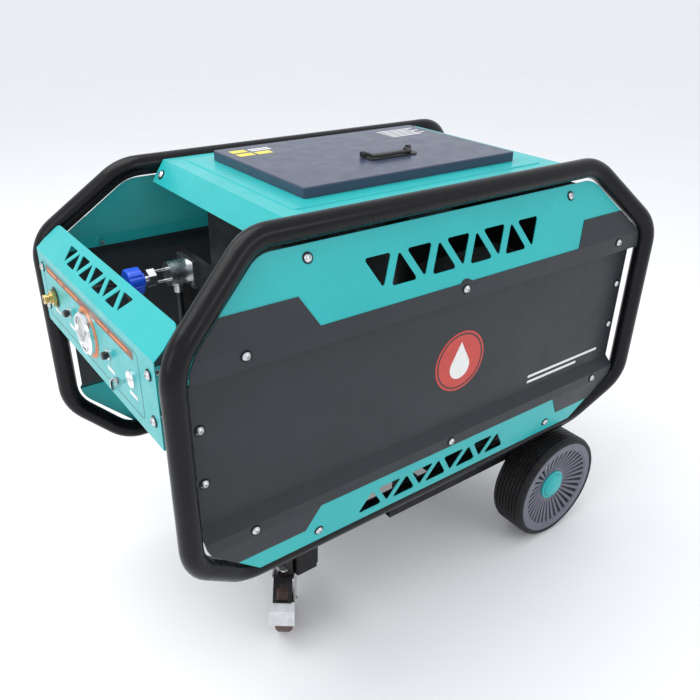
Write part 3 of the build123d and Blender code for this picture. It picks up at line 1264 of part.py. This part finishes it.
def build():
    """Make every piece."""
    loop = keep("left_side_loop", side_loop())
    keep("right_side_loop", other_side(loop))
    for name, shape in zip(("side_panel", "upper_side_sheet", "lower_side_sheet"), side_panels()):
        keep("left_" + name, shape)
        keep("right_" + name, other_side(shape))
    keep("top_cover", top_cover())
    keep("lid", lid())
    hinges()
    lid_handle()
    keep("control_panel", control_panel())
    gauge()
    keep("outlet_nipple", outlet_nipple())
    key_switch()
    choke_collar, choke_knob = pull_knob(CONTROL_STEP)
    throttle_collar, throttle_knob = pull_knob(-CONTROL_STEP)
    keep("choke_knob", choke_knob)
    keep("throttle_knob", throttle_knob)
    keep("knob_collars", Compound([choke_collar, throttle_collar]))
    fasteners()
    wheels_and_axle()
    casters()
    single = [front_frame, rear_frame, base_tray, rear_cover, front_bulkhead, engine_block,
              engine_shroud, muffler, fuel_tank, fuel_cap, pump_body, unloader_valve,
              pressure_knob, pressure_hose]
    for maker in single:
        keep(maker.__name__, maker())


if __name__ == "__main__":
    os.makedirs("parts", exist_ok=True)
    build()
    for name, shape in made.items():
        export_step(Pos(-MIDDLE_X, 0, 0) * shape, f"parts/{name}.step")
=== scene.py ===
"""Looks of a wheeled pressure washer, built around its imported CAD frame."""
import bmesh
import bpy
import math
from mathutils import Matrix, Vector


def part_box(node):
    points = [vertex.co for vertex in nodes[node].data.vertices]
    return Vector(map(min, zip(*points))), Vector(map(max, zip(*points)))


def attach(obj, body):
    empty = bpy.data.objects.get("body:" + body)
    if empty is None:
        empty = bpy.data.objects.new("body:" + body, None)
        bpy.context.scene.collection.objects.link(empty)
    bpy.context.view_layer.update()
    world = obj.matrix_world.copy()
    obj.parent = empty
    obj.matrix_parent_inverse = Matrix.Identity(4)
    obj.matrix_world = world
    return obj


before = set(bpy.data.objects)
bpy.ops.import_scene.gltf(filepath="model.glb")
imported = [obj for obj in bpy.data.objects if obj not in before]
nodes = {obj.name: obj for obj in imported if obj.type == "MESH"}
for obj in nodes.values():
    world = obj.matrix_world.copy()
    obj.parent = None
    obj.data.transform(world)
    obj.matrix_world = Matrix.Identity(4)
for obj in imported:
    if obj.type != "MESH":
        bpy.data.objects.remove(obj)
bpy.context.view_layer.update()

MM = 0.001
FIELD_DEPTH = 19.8 * MM
DECAL_T = 0.25 * MM
DECAL_LIFT = 0.05 * MM
CAMERA_PLACE = Vector((-0.8375, -1.1025, 1.2055))
CAMERA_AZ, CAMERA_EL, CAMERA_ROLL = 37.02, 27.82, 1.18
CAMERA_LENS = 37.3


# ------------------------------------------------------------------ materials
def ramp(tree, source, stops):
    """Colour ramp fed by a value."""
    node = tree.nodes.new("ShaderNodeValToRGB")
    elements = node.color_ramp.elements
    while len(elements) < len(stops):
        elements.new(0.5)
    for element, (place, colour) in zip(elements, stops):
        element.position = place
        element.color = (*colour, 1.0)
    tree.links.new(source, node.inputs["Fac"])
    return node.outputs["Color"]


def noise(tree, scale, detail=3.0, stretch=(1, 1, 1), rough=0.5):
    """Noise in the piece's own coordinates, in cycles per metre."""
    coords = tree.nodes.new("ShaderNodeTexCoord")
    mapping = tree.nodes.new("ShaderNodeMapping")
    mapping.inputs["Scale"].default_value = stretch
    texture = tree.nodes.new("ShaderNodeTexNoise")
    texture.inputs["Scale"].default_value = scale
    texture.inputs["Detail"].default_value = detail
    texture.inputs["Roughness"].default_value = rough
    tree.links.new(coords.outputs["Object"], mapping.inputs["Vector"])
    tree.links.new(mapping.outputs["Vector"], texture.inputs["Vector"])
    return texture.outputs["Fac"]


def spread(tree, source, low, high, source_low=0.3, source_high=0.7):
    """Value remapped to a range."""
    node = tree.nodes.new("ShaderNodeMapRange")
    node.inputs["From Min"].default_value = source_low
    node.inputs["From Max"].default_value = source_high
    node.inputs["To Min"].default_value = low
    node.inputs["To Max"].default_value = high
    tree.links.new(source, node.inputs["Value"])
    return node.outputs["Result"]


def shade(colour, factor):
    return tuple(min(1.0, c * factor) for c in colour)


def surface(name, colour, rough=0.4, metal=0.0, coat=0.0, vary=0.12, patch=9.0, grain=700.0,
            bump=0.05, depth=0.02, rough_vary=0.08, stretch=(1, 1, 1), dust=0.0, coat_rough=0.1,
            specular=0.5):
    """Painted, moulded or metal surface with patchy tone, a fine grain and uneven gloss."""
    mat = bpy.data.materials.new(name)
    mat.use_nodes = True
    tree = mat.node_tree
    shader = tree.nodes["Principled BSDF"]
    shader.inputs["Metallic"].default_value = metal
    shader.inputs["Coat Weight"].default_value = coat
    shader.inputs["Coat Roughness"].default_value = coat_rough
    shader.inputs["Specular IOR Level"].default_value = specular
    tone = noise(tree, patch, 5.0, stretch, 0.6)
    stops = [(0.3, shade(colour, 1 - vary)), (0.5, colour), (0.72, shade(colour, 1 + vary))]
    base = ramp(tree, tone, stops)
    if dust:
        settle = spread(tree, noise(tree, patch * 4, 6.0, (1, 1, 1), 0.7), 0.0, dust, 0.42, 0.75)
        mix = tree.nodes.new("ShaderNodeMix")
        mix.data_type = "RGBA"
        mix.inputs[7].default_value = (0.32, 0.3, 0.27, 1)
        tree.links.new(settle, mix.inputs[0])
        tree.links.new(base, mix.inputs[6])
        base = mix.outputs[2]
    tree.links.new(base, shader.inputs["Base Color"])
    fine = noise(tree, grain, 2.0, stretch)
    gloss = spread(tree, noise(tree, patch * 3.1, 6.0, stretch, 0.65), rough - rough_vary, rough + rough_vary)
    tree.links.new(gloss, shader.inputs["Roughness"])
    relief = tree.nodes.new("ShaderNodeBump")
    relief.inputs["Strength"].default_value = bump
    relief.inputs["Distance"].default_value = depth * MM
    tree.links.new(fine, relief.inputs["Height"])
    tree.links.new(relief.outputs["Normal"], shader.inputs["Normal"])
    return mat


TEAL = (0.02, 0.43, 0.43)
looks = {
    "teal": surface("teal_paint", TEAL, 0.34, coat=0.15, vary=0.05, bump=0.04,
                    specular=0.35),
    "dark": surface("dark_panel_paint", (0.03, 0.034, 0.038), 0.4, coat=0.05, vary=0.08, bump=0.05,
                    coat_rough=0.2, specular=0.22),
    "tube": surface("tube_paint", (0.004, 0.004, 0.005), 0.27, coat=0.04, vary=0.2, patch=14, bump=0.06,
                    rough_vary=0.07, coat_rough=0.12, specular=0.2),
    "lid": surface("lid_paint", (0.036, 0.05, 0.092), 0.36, coat=0.2, vary=0.06, bump=0.04,
                   specular=0.4),
    "black": surface("black_paint", (0.008, 0.008, 0.009), 0.5, vary=0.2, dust=0.04, bump=0.1,
                     specular=0.2),
    "steel": surface("zinc_steel", (0.62, 0.63, 0.64), 0.3, metal=1.0, vary=0.12, patch=60, bump=0.05),
    "chrome": surface("chrome", (0.82, 0.83, 0.84), 0.1, metal=1.0, vary=0.05, rough_vary=0.04, bump=0.01),
    "brass": surface("brass", (0.72, 0.5, 0.2), 0.26, metal=1.0, vary=0.12, patch=50, bump=0.04),
    "plastic": surface("black_plastic", (0.014, 0.014, 0.015), 0.42, vary=0.15, grain=1500, bump=0.12),
    "blue": surface("blue_plastic", (0.01, 0.1, 0.8), 0.3, coat=0.3, vary=0.08, patch=40),
    "dial": surface("dial_face", (0.68, 0.71, 0.68), 0.5, vary=0.04, patch=60, bump=0.01),
    "rim": surface("rim_plastic", (0.12, 0.12, 0.16), 0.42, vary=0.08, patch=30, grain=1200, bump=0.06,
                   dust=0.05),
    "tread": surface("caster_tread", (0.07, 0.035, 0.028), 0.6, vary=0.2, patch=40, dust=0.2, bump=0.1),
    "cast": surface("cast_metal", (0.16, 0.165, 0.17), 0.55, metal=0.75, vary=0.2, patch=30, grain=500,
                    bump=0.35, depth=0.1, dust=0.2),
    "hose": surface("hose_rubber", (0.008, 0.008, 0.009), 0.45, vary=0.2, patch=60, grain=900, bump=0.2,
                    depth=0.05),
    "white": surface("white_print", (0.78, 0.78, 0.76), 0.45, vary=0.04, patch=60, bump=0.02),
    "red": surface("red_print", (0.52, 0.035, 0.022), 0.4, coat=0.2, vary=0.06, patch=30, bump=0.02),
    "orange": surface("orange_print", (0.72, 0.2, 0.035), 0.42, vary=0.08, patch=30, bump=0.02),
    "brown": surface("brown_print", (0.2, 0.065, 0.03), 0.42, vary=0.1, patch=30, bump=0.02),
    "yellow": surface("yellow_print", (0.72, 0.6, 0.08), 0.45, vary=0.06, patch=60, bump=0.02),
    "ink": surface("dark_print", (0.02, 0.021, 0.024), 0.4, vary=0.1, patch=60, bump=0.02),
    "needle": surface("needle_paint", (0.05, 0.01, 0.008), 0.4, vary=0.1, patch=80, bump=0.02),
}


def tyre_material(rim_node):
    """Rubber with fine rings round the wheel and patchy dust."""
    low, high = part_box(rim_node)
    mat = surface(rim_node + "_rubber", (0.007, 0.007, 0.008), 0.5, vary=0.25, patch=25, dust=0.04, specular=0.2)
    tree = mat.node_tree
    coords = tree.nodes.new("ShaderNodeTexCoord")
    shift = tree.nodes.new("ShaderNodeVectorMath")
    shift.operation = "SUBTRACT"
    shift.inputs[1].default_value = ((low.x + high.x) / 2, 0, (low.z + high.z) / 2)
    flat = tree.nodes.new("ShaderNodeVectorMath")
    flat.operation = "MULTIPLY"
    flat.inputs[1].default_value = (1, 0, 1)
    radius = tree.nodes.new("ShaderNodeVectorMath")
    radius.operation = "LENGTH"
    wave = tree.nodes.new("ShaderNodeMath")
    wave.operation = "MULTIPLY"
    wave.inputs[1].default_value = 2 * math.pi / (3.4 * MM)
    sine = tree.nodes.new("ShaderNodeMath")
    sine.operation = "SINE"
    tree.links.new(coords.outputs["Object"], shift.inputs[0])
    tree.links.new(shift.outputs[0], flat.inputs[0])
    tree.links.new(flat.outputs[0], radius.inputs[0])
    tree.links.new(radius.outputs["Value"], wave.inputs[0])
    tree.links.new(wave.outputs[0], sine.inputs[0])
    rings = tree.nodes.new("ShaderNodeBump")
    rings.inputs["Strength"].default_value = 0.35
    rings.inputs["Distance"].default_value = 0.4 * MM
    old = next(n for n in tree.nodes if n.type == "BUMP" and n != rings)
    tree.links.new(sine.outputs[0], rings.inputs["Height"])
    tree.links.new(old.outputs["Normal"], rings.inputs["Normal"])
    tree.links.new(rings.outputs["Normal"], tree.nodes["Principled BSDF"].inputs["Normal"])
    return mat


def glass_material():
    """Clear gauge glass with faint smears."""
    mat = surface("gauge_glass", (0.95, 0.97, 0.97), 0.06, vary=0.02, patch=60, rough_vary=0.04, bump=0.01)
    shader = mat.node_tree.nodes["Principled BSDF"]
    shader.inputs["Transmission Weight"].default_value = 1.0
    shader.inputs["IOR"].default_value = 1.45
    shader.inputs["Alpha"].default_value = 0.25
    return mat


def dress(names, mat):
    """Give CAD nodes a material."""
    for name in names.split():
        slots = nodes[name].data.materials
        slots.clear()
        slots.append(mat)
        for polygon in nodes[name].data.polygons:
            polygon.material_index = 0


def both(names):
    """Left and right nodes of each name."""
    return " ".join(f"left_{n} right_{n}" for n in names.split())


dress(both("side_loop"), looks["tube"])
dress(both("side_panel"), looks["dark"])
dress(both("upper_side_sheet lower_side_sheet hub_cap") + " top_cover control_panel", looks["teal"])
dress("lid", looks["lid"])
dress("lid_hinge_bases lid_hinge_leaves front_frame rear_frame base_tray rear_cover front_bulkhead "
      "muffler panel_washers engine_shroud " + both("caster_lock_frame"), looks["black"])
dress("lid_hinge_pins panel_screws axle axle_nuts unloader_valve knob_collars "
      + both("caster_plate caster_fork caster_pedal"), looks["steel"])
dress("gauge_case key_switch ignition_key", looks["chrome"])
dress("lid_handle_bracket lid_handle_bail choke_knob throttle_knob fuel_tank fuel_cap", looks["plastic"])
dress("gauge_needle", looks["needle"])
dress("pressure_knob", looks["blue"])
dress("gauge_dial", looks["dial"])
dress("gauge_glass", glass_material())
dress("outlet_nipple", looks["brass"])
dress(both("rim"), looks["rim"])
dress(both("caster_wheel"), looks["tread"])
dress("engine_block pump_body", looks["cast"])
dress("pressure_hose", looks["hose"])
for side in ("left", "right"):
    dress(side + "_tyre", tyre_material(side + "_rim"))


# ------------------------------------------------------------------ pieces
def add_mesh(name, mesh_maker, mat, body):
    """Build a mesh piece with bmesh, and let it ride on a body."""
    mesh = bpy.data.meshes.new(name)
    bm = bmesh.new()
    mesh_maker(bm)
    bmesh.ops.recalc_face_normals(bm, faces=bm.faces)
    bm.to_mesh(mesh)
    bm.free()
    obj = bpy.data.objects.new(name, mesh)
    bpy.context.scene.collection.objects.link(obj)
    mesh.materials.append(mat)
    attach(obj, body)
    return obj


def slab(bm, outline, place, thickness):
    """Thin plate from an outline in (u, v), lifted off its surface, with a chamfered top edge."""
    edge = min(0.1 * MM, thickness / 2)
    rings = []
    for height, scale in ((0.0, 0.0), (thickness - edge, 0.0), (thickness, edge)):
        ring = []
        mid = Vector((sum(u for u, _ in outline), sum(v for _, v in outline))) / len(outline)
        for u, v in outline:
            inward = (mid - Vector((u, v))).normalized() * scale
            ring.append(bm.verts.new(place @ Vector((u + inward.x, v + inward.y, height + DECAL_LIFT))))
        rings.append(ring)
    count = len(outline)
    bm.faces.new(rings[0])
    bm.faces.new(rings[-1])
    for low, high in zip(rings, rings[1:]):
        for i in range(count):
            j = (i + 1) % count
            bm.faces.new((low[i], low[j], high[j], high[i]))


def band(bm, outer, inner, place, thickness):
    """Thin flat ring between two outlines with the same number of points."""
    count = len(outer)
    loops = []
    for outline in (outer, inner):
        for height in (0.0, thickness):
            loops.append([bm.verts.new(place @ Vector((u, v, height + DECAL_LIFT))) for u, v in outline])
    out0, out1, in0, in1 = loops
    for i in range(count):
        j = (i + 1) % count
        for a, b in ((out0, out1), (out1, in1), (in1, in0), (in0, out0)):
            bm.faces.new((a[i], a[j], b[j], b[i]))


def arc(u, v, radius, start, end, count):
    """Points along a circle's arc, in degrees."""
    turns = [math.radians(start + (end - start) * i / (count - 1)) for i in range(count)]
    return [(u + radius * math.cos(t), v + radius * math.sin(t)) for t in turns]


def circle(u, v, radius, count=64):
    return arc(u, v, radius, 0, 360 * (1 - 1 / count), count)


def round_box(u0, u1, v0, v1, radius):
    """Rounded rectangle."""
    return (arc(u1 - radius, v1 - radius, radius, 0, 90, 7) + arc(u0 + radius, v1 - radius, radius, 90, 180, 7)
            + arc(u0 + radius, v0 + radius, radius, 180, 270, 7)
            + arc(u1 - radius, v0 + radius, radius, 270, 360, 7))


def drop(u, v, size):
    """Plain water-drop outline."""
    body = arc(u, v, size * 0.5, 150, 390, 40)
    return body + [(u, v + size * 1.05)]


def side_place(side):
    """Frame on the recessed field of a side panel: u towards the viewer's right, v up."""
    low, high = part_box(("left" if side < 0 else "right") + "_side_panel")
    y = low.y + FIELD_DEPTH if side < 0 else high.y - FIELD_DEPTH
    mid_x = (low.x + high.x) / 2
    u_axis = Vector((-side, 0, 0))
    place = Matrix.Identity(4)
    for i, axis in enumerate((u_axis, Vector((0, 0, 1)), Vector((0, side, 0)))):
        for j in range(3):
            place[j][i] = axis[j]
    place.translation = Vector((mid_x, y, 0))
    return place


def side_marks():
    """A plain round drop badge and two plain stripes on each side panel."""
    for side, name in ((-1, "left"), (1, "right")):
        place = side_place(side)
        u, v = 0.032, 0.557
        add_mesh(name + "_badge", lambda bm: slab(bm, circle(u, v, 0.062), place, DECAL_T),
                 looks["red"], "chassis")
        lifted = place @ Matrix.Translation((0, 0, DECAL_T + DECAL_LIFT))
        add_mesh(name + "_badge_drop", lambda bm: slab(bm, drop(u, v - 0.012, 0.05), lifted, DECAL_T),
                 looks["white"], "chassis")
        add_mesh(name + "_badge_ring", lambda bm: band(bm, circle(u, v, 0.0575), circle(u, v, 0.0545),
                                                        lifted, DECAL_T),
                 looks["ink"], "chassis")

        def stripes(bm):
            slab(bm, round_box(0.24, 0.47, 0.4515, 0.4575, 0.0028), place, DECAL_T)
            slab(bm, round_box(0.24, 0.40, 0.4385, 0.4445, 0.0028), place, DECAL_T)

        add_mesh(name + "_stripes", stripes, looks["white"], "chassis")


def face_place():
    """Frame on the control panel's face: u towards the viewer's right (-Y), v up."""
    low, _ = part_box("control_panel")
    place = Matrix(((0, 0, -1, low.x), (-1, 0, 0, 0), (0, 1, 0, 0), (0, 0, 0, 1)))
    return place


def panel_marks():
    """Printed banner, outline, ring round the gauge and label plates on the control panel."""
    place = face_place()
    gauge_low, gauge_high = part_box("gauge_case")
    u0 = -(gauge_low.y + gauge_high.y) / 2
    v0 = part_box("gauge_dial")
    v0 = (v0[0].z + v0[1].z) / 2
    add_mesh("panel_banner", lambda bm: slab(bm, round_box(-0.226, 0.19, 0.7005, 0.7155, 0.003),
                                             place, DECAL_T), looks["brown"], "chassis")
    lifted = place @ Matrix.Translation((0, 0, DECAL_T + DECAL_LIFT))

    def banner_bars(bm):
        for start, end in ((-0.215, -0.165), (-0.155, -0.125), (-0.115, -0.05), (0.045, 0.09), (0.1, 0.17)):
            slab(bm, round_box(start, end, 0.7055, 0.7105, 0.002), lifted, DECAL_T)

    add_mesh("panel_banner_bars", banner_bars, looks["orange"], "chassis")
    outer = round_box(-0.246, 0.208, 0.6085, 0.7195, 0.009)
    inner = round_box(-0.2448, 0.2068, 0.6097, 0.7183, 0.008)
    add_mesh("panel_outline", lambda bm: band(bm, outer, inner, place, DECAL_T * 0.6),
             looks["ink"], "chassis")
    add_mesh("gauge_ring", lambda bm: band(bm, circle(u0, v0, 0.0445, 96), circle(u0, v0, 0.0378, 96),
                                           lifted, DECAL_T), looks["orange"], "chassis")

    def labels(bm):
        for node in ("outlet_nipple", "choke_knob", "throttle_knob", "key_switch"):
            low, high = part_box(node)
            u = -(low.y + high.y) / 2
            slab(bm, round_box(u - 0.015, u + 0.015, 0.6305, 0.6375, 0.0012), place, DECAL_T)

    add_mesh("panel_labels", labels, looks["white"], "chassis")
    low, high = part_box("outlet_nipple")
    u = -(low.y + high.y) / 2
    v = (low.z + high.z) / 2
    add_mesh("outlet_washer", lambda bm: band(bm, circle(u, v, 0.0195, 64), circle(u, v, 0.0165, 64),
                                              place, 1.2 * MM), looks["plastic"], "chassis")


def dial_marks():
    """Ticks and a red arc on the gauge dial, with no lettering."""
    low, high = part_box("gauge_dial")
    place = face_place()
    place.translation.x = low.x
    u, v = -(low.y + high.y) / 2, (low.z + high.z) / 2

    def ticks(bm):
        for i in range(41):
            turn = math.radians(225 - i * 270 / 40)
            long = i % 5 == 0
            r0, r1, half = (0.0225 if long else 0.0255), 0.0285, (0.45 if long else 0.2) * MM
            along = Vector((math.cos(turn), math.sin(turn)))
            across = Vector((-along.y, along.x)) * half
            centre = Vector((u, v))
            points = [centre + along * r0 - across, centre + along * r1 - across,
                      centre + along * r1 + across, centre + along * r0 + across]
            slab(bm, [(p.x, p.y) for p in points], place, 0.12 * MM)

    add_mesh("dial_ticks", ticks, looks["ink"], "chassis")

    def red_zone(bm):
        outer = arc(u, v, 0.0212, -45, 20, 24)
        inner = arc(u, v, 0.0198, 20, -45, 24)
        slab(bm, outer + inner, place, 0.1 * MM)

    add_mesh("dial_zone", red_zone, looks["red"], "chassis")


def lid_marks():
    """Plain printed blocks near the lid's far corners."""
    low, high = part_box("lid")
    place = Matrix.Translation((0, 0, high.z))
    x0, x1, y1 = low.x, high.x, high.y

    def blocks(bm, spots):
        for u0, u1, v0, v1 in spots:
            slab(bm, round_box(u0, u1, v0, v1, 0.0012), place, DECAL_T)

    yellow = [(x0 + 0.018, x0 + 0.05, y1 - 0.075, y1 - 0.055), (x0 + 0.056, x0 + 0.088, y1 - 0.075, y1 - 0.055),
              (x0 + 0.018, x0 + 0.05, y1 - 0.047, y1 - 0.027)]
    white = [(x0 + 0.056, x0 + 0.1, y1 - 0.047, y1 - 0.041), (x0 + 0.056, x0 + 0.1, y1 - 0.036, y1 - 0.03)]
    for row in range(6):
        v = y1 - 0.03 - row * 0.0105
        white.append((x1 - 0.118, x1 - 0.022 - 0.018 * (row % 2), v - 0.0045, v))
    add_mesh("lid_print_yellow", lambda bm: blocks(bm, yellow), looks["yellow"], "lid")
    add_mesh("lid_print_white", lambda bm: blocks(bm, white), looks["white"], "lid")


side_marks()
panel_marks()
dial_marks()
lid_marks()


# ------------------------------------------------------------------ studio
def floor():
    """Large pale floor, fading evenly."""
    mesh = bpy.data.meshes.new("floor")
    half = 40.0
    mesh.from_pydata([(-half, -half, 0), (half, -half, 0), (half, half, 0), (-half, half, 0)], [],
                     [(0, 1, 2, 3)])
    obj = bpy.data.objects.new("floor", mesh)
    bpy.context.scene.collection.objects.link(obj)
    mesh.materials.append(surface("floor_paint", (0.93, 0.93, 0.93), 0.6, vary=0.01, patch=2, bump=0.01))


def area_light(name, place, target, size, power, colour=(1, 1, 1)):
    """Soft rectangular light that faces a point."""
    data = bpy.data.lights.new(name, "AREA")
    data.shape = "RECTANGLE"
    data.size, data.size_y = size
    data.energy = power
    data.color = colour
    obj = bpy.data.objects.new(name, data)
    obj.location = place
    obj.rotation_euler = (Vector(target) - Vector(place)).to_track_quat("-Z", "Y").to_euler()
    bpy.context.scene.collection.objects.link(obj)


def studio():
    """Even pale surroundings with a big soft light overhead and weaker ones at the sides."""
    world = bpy.data.worlds.new("studio")
    bpy.context.scene.world = world
    world.use_nodes = True
    back = world.node_tree.nodes["Background"]
    back.inputs["Color"].default_value = (0.93, 0.95, 1.0, 1)
    back.inputs["Strength"].default_value = 0.95
    area_light("key", (-0.9, 0.6, 3.2), (0, 0, 0.6), (2.6, 2.6), 58)
    area_light("front", (-3.4, -0.6, 2.0), (-0.3, 0, 0.6), (1.6, 1.6), 12)
    area_light("side", (1.2, -3.6, 2.6), (0.1, 0, 0.5), (2.2, 1.2), 16)


def camera():
    """Camera at a front left three-quarter view, from above."""
    az, el, roll = (math.radians(v) for v in (CAMERA_AZ, CAMERA_EL, CAMERA_ROLL))
    forward = Vector((math.cos(el) * math.sin(az), math.cos(el) * math.cos(az), -math.sin(el)))
    level = Vector((math.cos(az), -math.sin(az), 0))
    rise = level.cross(forward)
    right = level * math.cos(roll) + rise * math.sin(roll)
    up = rise * math.cos(roll) - level * math.sin(roll)
    data = bpy.data.cameras.new("camera")
    data.lens = CAMERA_LENS
    data.sensor_width = 36.0
    obj = bpy.data.objects.new("camera", data)
    turn = Matrix((right, up, -forward)).transposed()
    obj.matrix_world = Matrix.Translation(CAMERA_PLACE) @ turn.to_4x4()
    bpy.context.scene.collection.objects.link(obj)
    bpy.context.scene.camera = obj


floor()
studio()
camera()
bpy.context.scene.view_settings.view_transform = "Standard"
